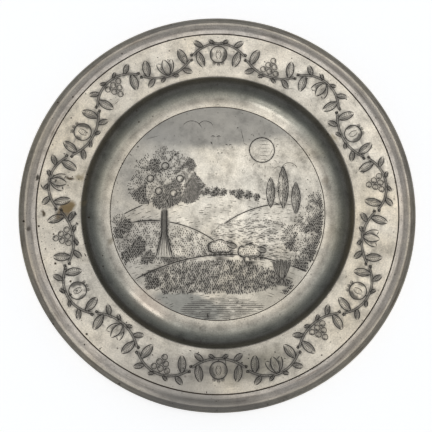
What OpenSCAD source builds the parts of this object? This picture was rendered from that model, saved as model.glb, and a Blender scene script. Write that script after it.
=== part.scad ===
// Seder plate: one cast pewter dish with a flat well, a curved wall, a broad flat rim and a turned moulding.
// The rim band carries an engraved vine with fruit, and the well an engraved country view in a round field.
// The cut lines hold a dark filling. Millimetres, origin at the middle of the underside, +Z up.

/* [Plate] */
// Diameter over the outer edge
plate_d = 330; // [300:1:400]
// Width of the whole rim, from the top of the curved wall to the outer edge
rim_w = 51.8; // [46:0.1:60]
// Depth of the well, from the rim's inner edge down to the well's floor
well_depth = 13; // [10:0.1:15.5]
// Radius of the curved wall between the floor and the rim
booge_r = 16.7; // [15.8:0.1:20]
// Thickness of the floor and of the curved wall
floor_t = 2.5; // [2:0.1:3.5]
// Thickness of the flat rim
rim_t = 2.4; // [1.9:0.1:3.5]
// Angle at which the rim rises towards its outer edge, in degrees
band_slope = 2.5; // [1:0.1:5]
// Rounding of the rim's inner edge
lip_r = 1.2; // [0.6:0.1:1.6]

/* [Moulding] */
// Distance of the rim's turned line from the outer edge
moulding_w = 15; // [13.5:0.1:17.5]
// Width of the flat strip between the turned line's middle and the moulding's fall
strip_w = 3.2; // [2.2:0.1:3.8]
// How far the moulding falls from the strip to its crest, below the line of the rim's surface
swell_drop = 0.8; // [0.5:0.05:1.1]
// Width of the crest
crest_w = 1.2; // [0.9:0.05:1.6]
// Rounding between the crest and the bevel
crest_edge_r = 0.5; // [0.3:0.05:0.8]
// Width of the bevel outside the crest
bevel_w = 4.85; // [4:0.05:5.1]
// Angle of the bevel below the horizontal, in degrees
bevel_angle = 28; // [23:1:30]
// Radius of the fine groove that runs round the bevel
bevel_groove_r = 0.25; // [0.2:0.01:0.35]
// Thickness of the plate at its outer edge
edge_t = 4.1; // [3.9:0.1:4.6]
// Rounding of the outer edge
edge_r = 0.8; // [0.6:0.05:0.9]

/* [Turned lines] */
// Width of the turned line between the rim band and the moulding
rim_line_w = 1.1; // [0.8:0.05:1.4]
// Width of the turned line round the picture in the well
well_line_w = 0.7; // [0.5:0.05:1]
// Depth of both turned lines
line_depth = 0.6; // [0.4:0.05:0.8]
// Distance of the well's turned line from the edge of the flat floor
medallion_margin = 6.4; // [5:0.1:12]

/* [Engraving] */
// Depth of the engraved strokes
cut_depth = 0.45; // [0.3:0.05:0.6]
// How far the dark filling stays below the metal around it
fill_drop = 0.12; // [0.05:0.01:0.2]
// Width of the engraved strokes
stroke_w = 1; // [0.8:0.05:1.2]
// Length along the rim of one half wave of the vine
bay_l = 42; // [36:0.5:50]
// How far the vine swings to either side of the band's middle
wave_h = 10.4; // [8.6:0.1:12.4]
// Free length between two half waves of the vine
stem_gap = 2; // [1.6:0.1:3]
// Radius of the pomegranates
fruit_r = 7.2; // [6:0.1:8.6]
// Length of the stalk that a fruit or flower hangs on
stalk_l = 2.2; // [1.6:0.1:3]
// Length of the large leaves
leaf_l = 15; // [12:0.5:18]
// Width of the large leaves
leaf_w = 6.4; // [5:0.1:7.6]
// Length of the vine's small leaves
leaflet_l = 10; // [8:0.1:12]
// Width of the vine's small leaves
leaflet_w = 4.3; // [3.4:0.1:5.2]
// Radius of one grape
grape_r = 2.5; // [2:0.05:3]
// Distance between the rims of two grapes
grape_gap = 0.6; // [0.4:0.05:0.8]
// Bare metal between the picture in the well and its turned line
picture_margin = 1; // [0.8:0.1:3]

/* [Hidden] */
$fn = 72;

// Overrun of every cut above the metal's surface
overrun = 0.3;
// Steps of a round stretch of the plate's outline
arc_steps = 16;
short_arc_steps = 6;
// Heart and crown of a pomegranate, as shares of its radius
heart_r_share = 0.45;
crown_l_share = 0.6;
crown_w_share = 0.35;
crown_angle = 20;
grape_rows = 3;
petal_angle = 32;
petal_foot_share = 0.15;
// Where the leaves spring from the vine, as shares of its way from the middle of the bay to an end, and
// how far they turn from the direction square to the vine
leaf_share = 0.72;
leaf_turn = 200;
leaflet_share = 0.5;
leaflet_turn = -30;

// Everything in the picture is given as shares of its radius, from its middle, +y up
// Hills from the nearest to the farthest: x, y and radius
hill_shares = [[0.1, -2.15, 1.75], [-0.62, -1.08, 1], [0.62, -0.84, 0.92], [-0.05, -1.5, 1.7]];
// Bushy crown of the fruit tree: x, y and radius of its rounds
crown_shares = [
    [-0.5, 0.42, 0.2], [-0.7, 0.24, 0.16], [-0.3, 0.24, 0.16], [-0.66, 0.42, 0.13], [-0.34, 0.42, 0.13],
    [-0.5, 0.2, 0.17]
];
// Trunk of the tree, from its left foot round to its right foot
trunk_shares = [[-0.58, -0.42], [-0.53, -0.2], [-0.53, 0.06], [-0.48, 0.06], [-0.48, -0.2], [-0.43, -0.42]];
// Fruits in the tree: x, y and radius
fruit_shares = [
    [-0.5, 0.44, 0.035], [-0.64, 0.32, 0.035], [-0.36, 0.32, 0.035], [-0.56, 0.2, 0.035],
    [-0.42, 0.18, 0.035]
];
// Sun in the sky: x, y and radius
sun_share = [0.42, 0.6, 0.12];
// Cypresses: x and y of the foot, height, width and turn
cypress_shares = [[0.5, 0.04, 0.3, 0.08, 0], [0.62, 0.03, 0.42, 0.1, 0], [0.74, -0.02, 0.32, 0.085, 0]];
// Feet of the two sheep
sheep_shares = [[0.02, -0.42], [0.3, -0.46]];
// A sheep's fleece from its foot: x, y and radius of its rounds
fleece_shares = [[-0.06, 0.09, 0.05], [0, 0.1, 0.06], [0.06, 0.09, 0.05]];
// A sheep's head: x, y, length, width and turn
head_shares = [0.06, 0.12, 0.11, 0.05, -105];
// A sheep's legs: places, width and height
leg_x_shares = [-0.06, 0.045];
leg_w_share = 0.015;
leg_h_share = 0.06;
// Sheaf of corn at the right: x and y of its foot, length and width of an ear, and the turn between two
sheaf_shares = [0.6, -0.62, 0.26, 0.045];
sheaf_angle = 14;
sheaf_foot_share = 0.3;
// Width of the thicker edge's flat underside, as a share of the crest and the bevel together
edge_foot_share = 1.4;

outer_r = plate_d / 2;
well_edge_r = outer_r - rim_w;
booge_w = sqrt(pow(booge_r, 2) - pow(booge_r - well_depth, 2));
floor_r = well_edge_r - booge_w;
rim_line_r = outer_r - moulding_w;
medallion_r = floor_r - medallion_margin;
picture_r = medallion_r - well_line_w / 2 - picture_margin;
booge_middle = [floor_r, floor_t + booge_r];
rise = tan(band_slope);

function band_z(r) = floor_t + well_depth + (r - well_edge_r) * rise;

// The moulding: where it starts to fall, its crest, the corner of crest and bevel, and the bevel's lower
// corner
swell_in_r = rim_line_r + strip_w;
bevel_r = outer_r - bevel_w;
crest_in_r = bevel_r - crest_w;
crest_corner = [bevel_r, band_z(bevel_r) - swell_drop];
bevel_corner = crest_corner + bevel_w * [1, -tan(bevel_angle)];
foot_z = crest_corner[1] - edge_t;
foot_in_r = outer_r - (bevel_w + crest_w) * edge_foot_share;

// The angle round the booge's middle at which a circle of radius r round it reaches the depth d below
// the rim's surface. Zero is straight down.
function booge_angle(r, d) =
    band_slope + acos((booge_r - well_depth + booge_w * rise + d / cos(band_slope)) * cos(band_slope) / r);

lip_angle = booge_angle(booge_r + lip_r, lip_r);
lip_middle = booge_middle + (booge_r + lip_r) * [sin(lip_angle), -cos(lip_angle)];
under_angle = booge_angle(booge_r + floor_t, rim_t * cos(band_slope));

function arc_points(middle, r, from, to, steps) =
    [for (i = [0:steps]) let (a = from + (to - from) * i / steps) middle + r * [cos(a), sin(a)]];

// Points of a corner rounded with the radius r, between two faces that look towards the angles from and to
function corner_points(corner, r, from, to, steps) =
    let (both = [cos(from) + cos(to), sin(from) + sin(to)])
    arc_points(corner - r * both / (1 + cos(to - from)), r, from, to, steps);

// Points of the moulding's smooth fall, from the crest inwards to the strip
function swell_points(steps) =
    [for (i = [steps:-1:0]) let (r = swell_in_r + (crest_in_r - swell_in_r) * i / steps)
        [r, band_z(r) - swell_drop * (1 - cos(180 * i / steps)) / 2]];

// The band's middle circle carries the vine, in an even number of half waves
band_mid_r = (well_edge_r + rim_line_r) / 2;
bays = 2 * floor(PI * band_mid_r / bay_l);
bay_angle = 360 / bays;
bay_end_x = band_mid_r * sin(bay_angle / 2);
bay_end_y = band_mid_r * (cos(bay_angle / 2) - 1);

// The plate's outline from the middle of the underside outwards, over the edge and back along the top
function outline_points() = concat(
    [[0, 0]],
    arc_points(booge_middle, booge_r + floor_t, -90, under_angle - 90, arc_steps),
    [[foot_in_r - edge_r, band_z(foot_in_r - edge_r) - rim_t], [foot_in_r, foot_z]],
    corner_points([outer_r, foot_z], edge_r, -90, 0, short_arc_steps),
    corner_points(bevel_corner, edge_r, 0, 90 - bevel_angle, short_arc_steps),
    corner_points(crest_corner, crest_edge_r, 90 - bevel_angle, 90 + band_slope, short_arc_steps),
    swell_points(arc_steps),
    arc_points(lip_middle, lip_r, 90 + band_slope, 90 + lip_angle, short_arc_steps),
    arc_points(booge_middle, booge_r, lip_angle - 90, -90, arc_steps),
    [[0, floor_t]]
);

module plate_outline() {
    difference() {
        polygon(outline_points());
        translate((crest_corner + bevel_corner) / 2) circle(bevel_groove_r);
        translate([rim_line_r - rim_line_w / 2, band_z(rim_line_r) - line_depth])
            square([rim_line_w, line_depth + overrun]);
        translate([medallion_r - well_line_w / 2, floor_t - line_depth])
            square([well_line_w, line_depth + overrun]);
    }
}

// A ring with its outer radius r and its line inside it
module ring(r) {
    difference() {
        circle(r);
        circle(r - stroke_w);
    }
}

// A pointed leaf that lies along +y from the origin
module leaf(l, w) {
    r = (pow(l, 2) + pow(w, 2)) / (4 * w);
    translate([0, l / 2]) intersection() {
        translate([r - w / 2, 0]) circle(r);
        translate([w / 2 - r, 0]) circle(r);
    }
}

function vine_r(end_y) = (pow(bay_end_x, 2) + pow(wave_h - end_y, 2)) / (2 * (wave_h - end_y));

// Puts a pattern on the vine at a share of its way from the middle to an end, with y square to the vine
module on_vine(share, end_y) {
    r = vine_r(end_y);
    translate([0, wave_h - r]) rotate(-share * asin(bay_end_x / r)) translate([0, r]) children();
}

// Half a wave of the vine: an arc through both ends of the bay, at the height end_y, that swings out by
// wave_h at its middle
module vine_arc(end_y) {
    r = vine_r(end_y);
    half = asin(bay_end_x / r) - asin(stem_gap / 2 / r);
    reach = r / cos(half) + r;
    translate([0, wave_h - r]) intersection() {
        difference() {
            circle(r + stroke_w / 2);
            circle(r - stroke_w / 2);
        }
        polygon([[0, 0], reach * [-sin(half), cos(half)], [0, reach], reach * [sin(half), cos(half)]]);
    }
}

// A pomegranate that hangs below the origin, with its heart and its crown
module pomegranate() {
    translate([0, -fruit_r]) {
        ring(fruit_r);
        circle(fruit_r * heart_r_share);
        for (a = [-crown_angle, crown_angle])
            rotate(180 + a) translate([0, fruit_r - stroke_w / 2])
                leaf(fruit_r * crown_l_share, fruit_r * crown_w_share);
    }
}

// A bunch of grapes that hangs below the origin, in rows that get shorter
module grapes() {
    pitch = 2 * grape_r + grape_gap;
    for (row = [0:grape_rows - 1], i = [0:grape_rows - 1 - row])
        translate([(i - (grape_rows - 1 - row) / 2) * pitch, -grape_r - row * pitch * sin(60)])
            circle(grape_r);
}

// A tulip of three petals that hangs below the origin
module tulip() {
    for (turn = [-petal_angle, 0, petal_angle])
        rotate(180 + turn) translate([0, -leaf_l * petal_foot_share]) leaf(leaf_l, leaf_w);
}

// One bay of the band's ornament in its own plane: x runs along the rim, y towards the outer edge
module bay(kind, end_y) {
    vine_arc(end_y);
    translate([-stroke_w / 2, wave_h - stalk_l - stroke_w / 2]) square([stroke_w, stalk_l + stroke_w / 2]);
    translate([0, wave_h - stalk_l]) {
        if (kind == 0) pomegranate();
        if (kind == 1) grapes();
        if (kind == 2) tulip();
    }
    for (side = [0, 1]) mirror([side, 0]) {
        on_vine(leaf_share, end_y) rotate(leaf_turn) leaf(leaf_l, leaf_w);
        on_vine(leaflet_share, end_y) rotate(leaflet_turn) leaf(leaflet_l, leaflet_w);
    }
}

// Puts a flat pattern on the band: its middle lies on the band's middle circle, tilted as the band is
module on_band(angle) {
    rotate([0, 0, 90 - angle]) translate([band_mid_r, 0, band_z(band_mid_r)])
        rotate([0, -band_slope, 0]) rotate([0, 0, -90]) children();
}

// The strokes of the whole band, from the depth of the cut up to the height top
module band_strokes(top) {
    for (i = [0:bays - 1])
        on_band(i * bay_angle) mirror([0, i % 2, 0]) translate([0, 0, -cut_depth])
            linear_extrude(top + cut_depth) bay(i % 3, bay_end_y * (1 - 2 * (i % 2)));
}

// A round shape of the picture, given as shares of the picture's radius: x, y and radius
module disc(shares, inset = 0) {
    translate(picture_r * [shares[0], shares[1]]) circle(picture_r * shares[2] - inset);
}

module crown(inset = 0) {
    for (c = crown_shares) disc(c, inset);
}

// A leaf that stands in the picture, given as shares: x and y of its foot, length, width, and its turn
module standing_leaf(shares) {
    translate(picture_r * [shares[0], shares[1]]) rotate(shares[4])
        leaf(picture_r * shares[2], picture_r * shares[3]);
}

module trunk() {
    polygon(picture_r * trunk_shares);
}

// A sheep that looks to the right: fleece, head and two legs
module sheep(foot) {
    translate(picture_r * foot) {
        for (c = fleece_shares) disc(c);
        standing_leaf(head_shares);
        for (x = leg_x_shares)
            translate(picture_r * [x, 0]) square(picture_r * [leg_w_share, leg_h_share]);
    }
}

// What stands on the hills
module standing_things() {
    for (foot = sheep_shares) sheep(foot);
    for (l = cypress_shares) standing_leaf(l);
    for (turn = [-2:2])
        translate(picture_r * [sheaf_shares[0], sheaf_shares[1]]) rotate(turn * sheaf_angle)
            translate([0, -picture_r * sheaf_shares[2] * sheaf_foot_share])
                leaf(picture_r * sheaf_shares[2], picture_r * sheaf_shares[3]);
}

// The hills' lines, each hidden where a nearer hill or the tree's crown stands in front
module hill_lines() {
    for (i = [0:len(hill_shares) - 1]) difference() {
        disc(hill_shares[i]);
        disc(hill_shares[i], stroke_w);
        for (j = [0:1:i - 1]) disc(hill_shares[j], stroke_w / 2);
        crown(stroke_w / 2);
    }
}

// The strokes of the picture in the well, clipped to its round field
module picture() {
    intersection() {
        circle(picture_r);
        hill_lines();
    }
    difference() {
        crown();
        crown(stroke_w);
    }
    trunk();
    for (f = fruit_shares) disc(f);
    standing_things();
    translate(picture_r * [sun_share[0], sun_share[1]]) ring(picture_r * sun_share[2]);
}

module picture_strokes(top) {
    translate([0, 0, floor_t - cut_depth]) linear_extrude(top + cut_depth) picture();
}

module plate() {
    color("#b9b2a4") difference() {
        rotate_extrude() plate_outline();
        band_strokes(overrun);
        picture_strokes(overrun);
    }
}

// The filling of a turned line at the radius r, whose surface is at the height z
module line_fill(r, w, z) {
    color("#33291f") rotate_extrude()
        translate([r - w / 2, z - line_depth]) square([w, line_depth - fill_drop]);
}

module rim_line_fill() {
    line_fill(rim_line_r, rim_line_w, band_z(rim_line_r));
}

module well_line_fill() {
    line_fill(medallion_r, well_line_w, floor_t);
}

module band_ornament_fill() {
    color("#3a3128") band_strokes(-fill_drop);
}

module medallion_ornament_fill() {
    color("#3a3128") picture_strokes(-fill_drop);
}

plate();
rim_line_fill();
well_line_fill();
band_ornament_fill();
medallion_ornament_fill();
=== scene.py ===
import math
import random

import bpy
import numpy as np
from mathutils import Matrix, Vector
from mathutils.geometry import delaunay_2d_cdt


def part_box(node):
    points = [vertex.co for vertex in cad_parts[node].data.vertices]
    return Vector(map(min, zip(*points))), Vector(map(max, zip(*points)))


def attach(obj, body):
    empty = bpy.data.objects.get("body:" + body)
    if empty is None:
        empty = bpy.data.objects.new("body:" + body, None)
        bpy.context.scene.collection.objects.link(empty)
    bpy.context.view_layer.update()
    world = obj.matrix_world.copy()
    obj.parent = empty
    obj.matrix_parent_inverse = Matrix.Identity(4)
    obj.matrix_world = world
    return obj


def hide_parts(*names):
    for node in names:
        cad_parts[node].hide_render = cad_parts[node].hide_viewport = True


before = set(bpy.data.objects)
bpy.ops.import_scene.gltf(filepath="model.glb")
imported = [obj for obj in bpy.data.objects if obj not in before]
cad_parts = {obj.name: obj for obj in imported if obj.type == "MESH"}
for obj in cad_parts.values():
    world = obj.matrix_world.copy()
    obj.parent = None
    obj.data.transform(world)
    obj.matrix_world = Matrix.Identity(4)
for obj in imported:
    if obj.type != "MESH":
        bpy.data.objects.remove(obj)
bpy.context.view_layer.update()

# Looks of the pewter dish. Lengths are in millimetres until a mesh is made, and angles are in radians, where
# nothing else is said.
MM = 0.001
SEGMENTS = 224

# The dish's turned shape, the same sizes as the solids have
OUTER_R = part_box("plate")[1].x / MM
RIM_W = 51.8
WELL_DEPTH = 13
BOOGE_R = 16.7
FLOOR_T = 2.5
RIM_T = 2.4
BAND_SLOPE = math.radians(2.5)
LIP_R = 1.2
MOULDING_W = 15
STRIP_W = 3.2
SWELL_DROP = 0.8
CREST_W = 1.2
CREST_EDGE_R = 0.5
BEVEL_W = 4.85
BEVEL_ANGLE = math.radians(28)
EDGE_T = 4.1
EDGE_R = 0.8
EDGE_FOOT_SHARE = 1.4
BEVEL_GROOVE_W = 0.5
BEVEL_GROOVE_DEPTH = 0.15
RIM_LINE_W = 1.1
WELL_LINE_W = 0.7
LINE_DEPTH = 0.6
MEDALLION_MARGIN = 6.4
PICTURE_MARGIN = 1
FILL_DROP = 0.06
# A line's filling: the shares of the line's width and depth that it takes, how far it lies below the metal,
# and how hollow its top is
LINE_FILL_W = 0.86
LINE_FILL_DEPTH = 0.84
LINE_FILL_DROP = 0.09
LINE_FILL_HOLLOW = 0.05
SCRATCH_DEPTH = 0.24
PIT_DEPTH = 0.22
# Small waves of the rim, from a radius outwards: height, how many go round, and where the first one starts
WARP_IN_R = 112
WARP_WAVES = ((0.14, 2, 0.4), (0.08, 3, 2.0), (0.04, 5, 1.0))
# The place where the edge is pushed in: its direction, how far it spreads to either side, and how deep it is
KNOCK_ANGLE = math.radians(-128)
KNOCK_SPREAD = 0.42
KNOCK_IN_R = 152
KNOCK_SHARE = 0.0055
# Between faces that meet at more than these angles, the plate and the line fillings look sharp
PLATE_SHARP = math.radians(14)
LINE_SHARP = math.radians(50)
# Where a piece's top and underside lie on its texture: the middle of each and its radius
PLATE_SHEETS = ((0.37, 0.37, 0.36), (0.79, 0.79, 0.2))
FILLING_SHEETS = ((0.25, 0.5, 0.24), (0.75, 0.5, 0.24))

# The camera: its target and distance in metres, its lens and sensor in millimetres, and how far the picture
# is shifted, as shares of its width
CAMERA_TARGET = Vector((0, 0, 0.010))
CAMERA_DISTANCE = 0.769
CAMERA_ANGLES = (math.radians(-15), math.radians(83))
LENS = 76.8
SENSOR_W = 36
SHIFT = (-2.25 / 432, -4.72 / 432)

# The studio: each lamp's place and size in metres and its watts, then how bright the light all round is by
# height, then the white floor: half its width and its gap below the dish in millimetres, and its glow
LAMPS = {"softbox": ((0.105, 0.28, 2.0), 0.7, 2.8), "fill": ((-0.42, -0.5, 2.0), 0.7, 1.1)}
STUDIO = ((0.0, 0.8), (0.1, 0.62), (0.25, 0.46), (0.5, 0.36), (0.75, 0.3), (1.0, 0.32))
FLOOR_HALF = 6000
FLOOR_GAP = 0.2
FLOOR_GLOW = 0.63

WELL_EDGE_R = OUTER_R - RIM_W
BOOGE_W = math.sqrt(BOOGE_R**2 - (BOOGE_R - WELL_DEPTH) ** 2)
FLOOR_R = WELL_EDGE_R - BOOGE_W
RIM_LINE_R = OUTER_R - MOULDING_W
MEDALLION_R = FLOOR_R - MEDALLION_MARGIN
PICTURE_R = MEDALLION_R - WELL_LINE_W / 2 - PICTURE_MARGIN
BAND_MID_R = (WELL_EDGE_R + RIM_LINE_R) / 2


def band_z(r):
    return FLOOR_T + WELL_DEPTH + (r - WELL_EDGE_R) * math.tan(BAND_SLOPE)


def floor_z(r):
    return FLOOR_T + 0 * r


SWELL_IN_R = RIM_LINE_R + STRIP_W
BEVEL_R = OUTER_R - BEVEL_W
CREST_IN_R = BEVEL_R - CREST_W
CREST_CORNER = (BEVEL_R, band_z(BEVEL_R) - SWELL_DROP)
BEVEL_CORNER = (OUTER_R, CREST_CORNER[1] - BEVEL_W * math.tan(BEVEL_ANGLE))
FOOT_Z = CREST_CORNER[1] - EDGE_T
FOOT_IN_R = OUTER_R - (BEVEL_W + CREST_W) * EDGE_FOOT_SHARE
BOOGE_MIDDLE = (FLOOR_R, FLOOR_T + BOOGE_R)


def arc(middle, r, start, end, steps):
    """Points of a round stretch, between two angles."""
    turns = np.linspace(start, end, steps + 1)
    return [(middle[0] + r * math.cos(a), middle[1] + r * math.sin(a)) for a in turns]


def booge_angle(r, depth):
    """Where a circle of radius r round the booge's middle reaches a depth below the rim's surface."""
    reach = BOOGE_R - WELL_DEPTH + BOOGE_W * math.tan(BAND_SLOPE) + depth / math.cos(BAND_SLOPE)
    return BAND_SLOPE + math.acos(reach * math.cos(BAND_SLOPE) / r)


LIP_ANGLE = booge_angle(BOOGE_R + LIP_R, LIP_R)
LIP_MIDDLE = (
    BOOGE_MIDDLE[0] + (BOOGE_R + LIP_R) * math.sin(LIP_ANGLE),
    BOOGE_MIDDLE[1] - (BOOGE_R + LIP_R) * math.cos(LIP_ANGLE),
)
UNDER_ANGLE = booge_angle(BOOGE_R + FLOOR_T, RIM_T * math.cos(BAND_SLOPE))
QUARTER = math.pi / 2
TURNS = [2 * math.pi * i / SEGMENTS for i in range(SEGMENTS)]


def round_points(r):
    """The points of a round edge."""
    return [(r * math.cos(a), r * math.sin(a)) for a in TURNS]


def steps_round(n):
    """Each index of a closed row with the next one."""
    return [(i, (i + 1) % n) for i in range(n)]


def groove(r, w, z, depth, slope=0.0):
    """Section of a turned line with a round bottom, from its inner to its outer edge."""
    shares = np.linspace(-1, 1, 7)
    return [(r + w / 2 * s, z + slope * w / 2 * s - depth * math.sqrt(max(0, 1 - s * s))) for s in shares]


def corner(place, r, start, end, steps):
    """Points of a corner rounded with the radius r, between faces that look towards start and end."""
    both = (math.cos(start) + math.cos(end), math.sin(start) + math.sin(end))
    back = r / (1 + math.cos(end - start))
    return arc((place[0] - back * both[0], place[1] - back * both[1]), r, start, end, steps)


def moulding():
    """Section of the rim's moulding, from the turned line out to the foot of the outer edge."""
    line_out_r = RIM_LINE_R + RIM_LINE_W / 2
    points = [(r, band_z(r)) for r in (line_out_r + 0.15, line_out_r + 0.6)]
    for t in np.linspace(0, 1, 13):
        r = SWELL_IN_R + (CREST_IN_R - SWELL_IN_R) * t
        points.append((r, band_z(r) - SWELL_DROP * (1 - math.cos(math.pi * t)) / 2))
    points.append((CREST_IN_R + CREST_W / 2, band_z(CREST_IN_R + CREST_W / 2) - SWELL_DROP))
    points += corner(CREST_CORNER, CREST_EDGE_R, QUARTER + BAND_SLOPE, QUARTER - BEVEL_ANGLE, 5)
    middle = OUTER_R - BEVEL_W / 2
    for s in (-1, -0.7, 0, 0.7, 1):
        r = middle + s * BEVEL_GROOVE_W / 2
        dip = BEVEL_GROOVE_DEPTH * (1 - s * s)
        points.append((r, CREST_CORNER[1] - (r - BEVEL_R) * math.tan(BEVEL_ANGLE) - dip))
    points += corner(BEVEL_CORNER, EDGE_R, QUARTER - BEVEL_ANGLE, 0, 5)
    points += corner((OUTER_R, FOOT_Z), EDGE_R, 0, -QUARTER, 4)
    return points


def underside():
    """Section of the underside, from the outer edge in to the axis."""
    step = (FOOT_IN_R - EDGE_R, band_z(FOOT_IN_R - EDGE_R) - RIM_T)
    wall = arc(BOOGE_MIDDLE, BOOGE_R + FLOOR_T, UNDER_ANGLE - QUARTER, -QUARTER, 10)
    return [(FOOT_IN_R, FOOT_Z), step] + wall + [(r, 0.0) for r in (80, 50, 20, 4)]


def well_wall():
    """Section from the well's turned line out to the rim's inner edge."""
    line = groove(MEDALLION_R, WELL_LINE_W, FLOOR_T, LINE_DEPTH)
    ring = [(r, FLOOR_T) for r in np.linspace(line[-1][0] + 0.15, FLOOR_R - 0.4, 3)]
    booge = arc(BOOGE_MIDDLE, BOOGE_R, -QUARTER, LIP_ANGLE - QUARTER, 16)
    lip = arc(LIP_MIDDLE, LIP_R, QUARTER + LIP_ANGLE, QUARTER + BAND_SLOPE, 6)[1:]
    return line + ring + booge + lip


def warp(x, y):
    """How far the hand-finished rim strays from true, as a height. The dish's foot stays flat."""
    r = np.hypot(x, y)
    a = np.arctan2(y, x)
    grows = np.clip((r - WARP_IN_R) / (OUTER_R - WARP_IN_R), 0, 1) ** 1.3
    return grows * sum(height * np.sin(n * a + start) for height, n, start in WARP_WAVES)


def knock(x, y):
    """The share of its distance from the axis that a point keeps: the edge is pushed in at one place."""
    r = np.hypot(x, y)
    off = np.abs((np.arctan2(y, x) - KNOCK_ANGLE + math.pi) % (2 * math.pi) - math.pi)
    grows = np.clip((r - KNOCK_IN_R) / (OUTER_R - KNOCK_IN_R), 0, 1)
    return 1 - KNOCK_SHARE * np.exp(-((off / KNOCK_SPREAD) ** 2)) * grows


class Cuts:
    """Engraved strokes: runs of points with a half width at each, and how deep each one is."""

    def __init__(self):
        self.runs = []

    def add(self, points, half_widths, depth):
        self.runs.append((np.array(points, float), np.array(half_widths, float), depth))

    def stroke(self, points, width, depth):
        """A stroke with pointed ends, as a graver leaves it."""
        points = np.array(points, float)
        if len(points) == 2:
            a, b = points
            points = np.array([a, a + (b - a) * 0.45, b])
        half = np.full(len(points), width / 2)
        if not is_closed(points):
            half[0] = half[-1] = 0
        self.add(points, half, depth)

    def pit(self, x, y, r, depth):
        """A small pit: a short fat stroke."""
        self.add([(x - r, y), (x - r / 2, y), (x + r / 2, y), (x + r, y)], [0, r * 0.8, r * 0.8, 0], depth)


def is_closed(points):
    return len(points) > 3 and np.allclose(points[0], points[-1])


def outline_of(points, half):
    """Left and right edges of a run of points."""
    ahead = np.gradient(points, axis=0)
    if is_closed(points):
        ahead[0] = ahead[-1] = points[1] - points[-2]
    ahead /= np.maximum(np.linalg.norm(ahead, axis=1, keepdims=True), 1e-9)
    side = np.stack([-ahead[:, 1], ahead[:, 0]], 1)
    left = points + side * half[:, None]
    right = points - side * half[:, None]
    return left, right


def carve(cuts, rings, loose=(), close=(), narrow=0.0):
    """Triangles of a flat field with the strokes drawn in it: their points, faces, depths and grime.

    rings are the field's round edges, as radii, from the outer one inwards. loose are points that keep the
    triangles small, and close are more of them, used only at the edges of what is thick with strokes.
    narrow is how much lower than the surface the strokes are cut across."""
    points, edges, strokes, segments = [], [], [], []
    for run, half, depth in cuts.runs:
        if narrow >= depth * 0.9:
            continue
        half = half * (1 - narrow / depth)
        strokes.append((run, *outline_of(run, half)))
        for i in range(len(run) - 1):
            segments.append((*run[i], *run[i + 1], half[i], half[i + 1], depth - narrow, half.max()))
    crowd = Crowd(segments)

    def chain(new, start=(), end=(), closed=False):
        """Adds points joined in a row, from and to points that are there already, and gives the row."""
        row = [*start, *range(len(points), len(points) + len(new)), *end]
        points.extend(map(tuple, new))
        edges.extend(zip(row, row[1:] + row[:1] if closed else row[1:]))
        return row

    for r in rings:
        chain(round_points(r), closed=True)
    points.extend(loose)
    if close:
        points.extend(p for p, g in zip(close, crowd.at(np.array(close))) if 0.2 < g < 0.55)
    for run, *sides in strokes:
        if is_closed(run):
            for part in (run, *sides):
                chain(part[:-1], closed=True)
            continue
        middle = chain(run)
        for part in sides:
            chain(part[1:-1], middle[:1], middle[-1:])
    where, _, faces, source, *_ = delaunay_2d_cdt([Vector(p) for p in points], edges, [], 0, 1e-5)
    where = np.array([tuple(v) for v in where])
    faces = np.array([f for f in faces if len(f) == 3])
    return where, faces, depths_at(where, segments), crowd.at(where), source


def depths_at(where, segments, cell=2.0):
    """Depth at each point: the deepest of the strokes that cross it."""
    depth = np.zeros(len(where))
    low = where.min(0)
    keys = np.floor((where - low) / cell).astype(int)
    wide = keys[:, 1].max() + 1
    flat = keys[:, 0] * wide + keys[:, 1]
    order = np.argsort(flat, kind="stable")
    names, starts = np.unique(flat[order], return_index=True)
    ends = np.append(starts[1:], len(order))
    bins = {int(n): order[s:e] for n, s, e in zip(names, starts, ends)}
    for x0, y0, x1, y1, h0, h1, deep, widest in segments:
        reach = max(h0, h1) + 1e-4
        i0, j0 = np.floor((np.array([min(x0, x1), min(y0, y1)]) - reach - low) / cell).astype(int)
        i1, j1 = np.floor((np.array([max(x0, x1), max(y0, y1)]) + reach - low) / cell).astype(int)
        names = [i * wide + j for i in range(i0, i1 + 1) for j in range(j0, j1 + 1)]
        near = [bins[name] for name in names if name in bins]
        length = math.hypot(x1 - x0, y1 - y0)
        if not near or length < 1e-9:
            continue
        near = np.concatenate(near)
        along = np.array([x1 - x0, y1 - y0]) / length
        offset = where[near] - (x0, y0)
        t = offset @ along / length
        side = np.abs(offset @ np.array([-along[1], along[0]]))
        half = h0 + (h1 - h0) * np.clip(t, 0, 1)
        inside = (t >= -1e-6) & (t <= 1 + 1e-6) & (half > 1e-6)
        cut = np.zeros(len(near))
        cut[inside] = deep * np.clip((half - side)[inside], 0, None) / widest
        depth[near] = np.maximum(depth[near], cut)
    return depth


class Crowd:
    """How closely strokes crowd round a place: 0 on bare metal, 1 where they cover half of it."""

    cell = 0.8
    low = -OUTER_R

    def __init__(self, segments):
        across = int(2 * OUTER_R / self.cell) + 2
        self.grid = np.zeros((across, across))
        parts = np.array(segments)
        length = np.hypot(parts[:, 2] - parts[:, 0], parts[:, 3] - parts[:, 1])
        area = length * (parts[:, 4] + parts[:, 5])
        for share_along in (0.25, 0.75):
            place = parts[:, :2] + (parts[:, 2:4] - parts[:, :2]) * share_along
            np.add.at(self.grid, self.cells(place), area / 2)
        for _ in range(3):
            for axis in (0, 1):
                self.grid = (np.roll(self.grid, 1, axis) + 2 * self.grid + np.roll(self.grid, -1, axis)) / 4
        self.grid = np.clip(self.grid / self.cell**2 * 2, 0, 1)

    def cells(self, where):
        return tuple(((where - self.low) / self.cell).astype(int).T)

    def at(self, where):
        return self.grid[self.cells(where)]


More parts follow.
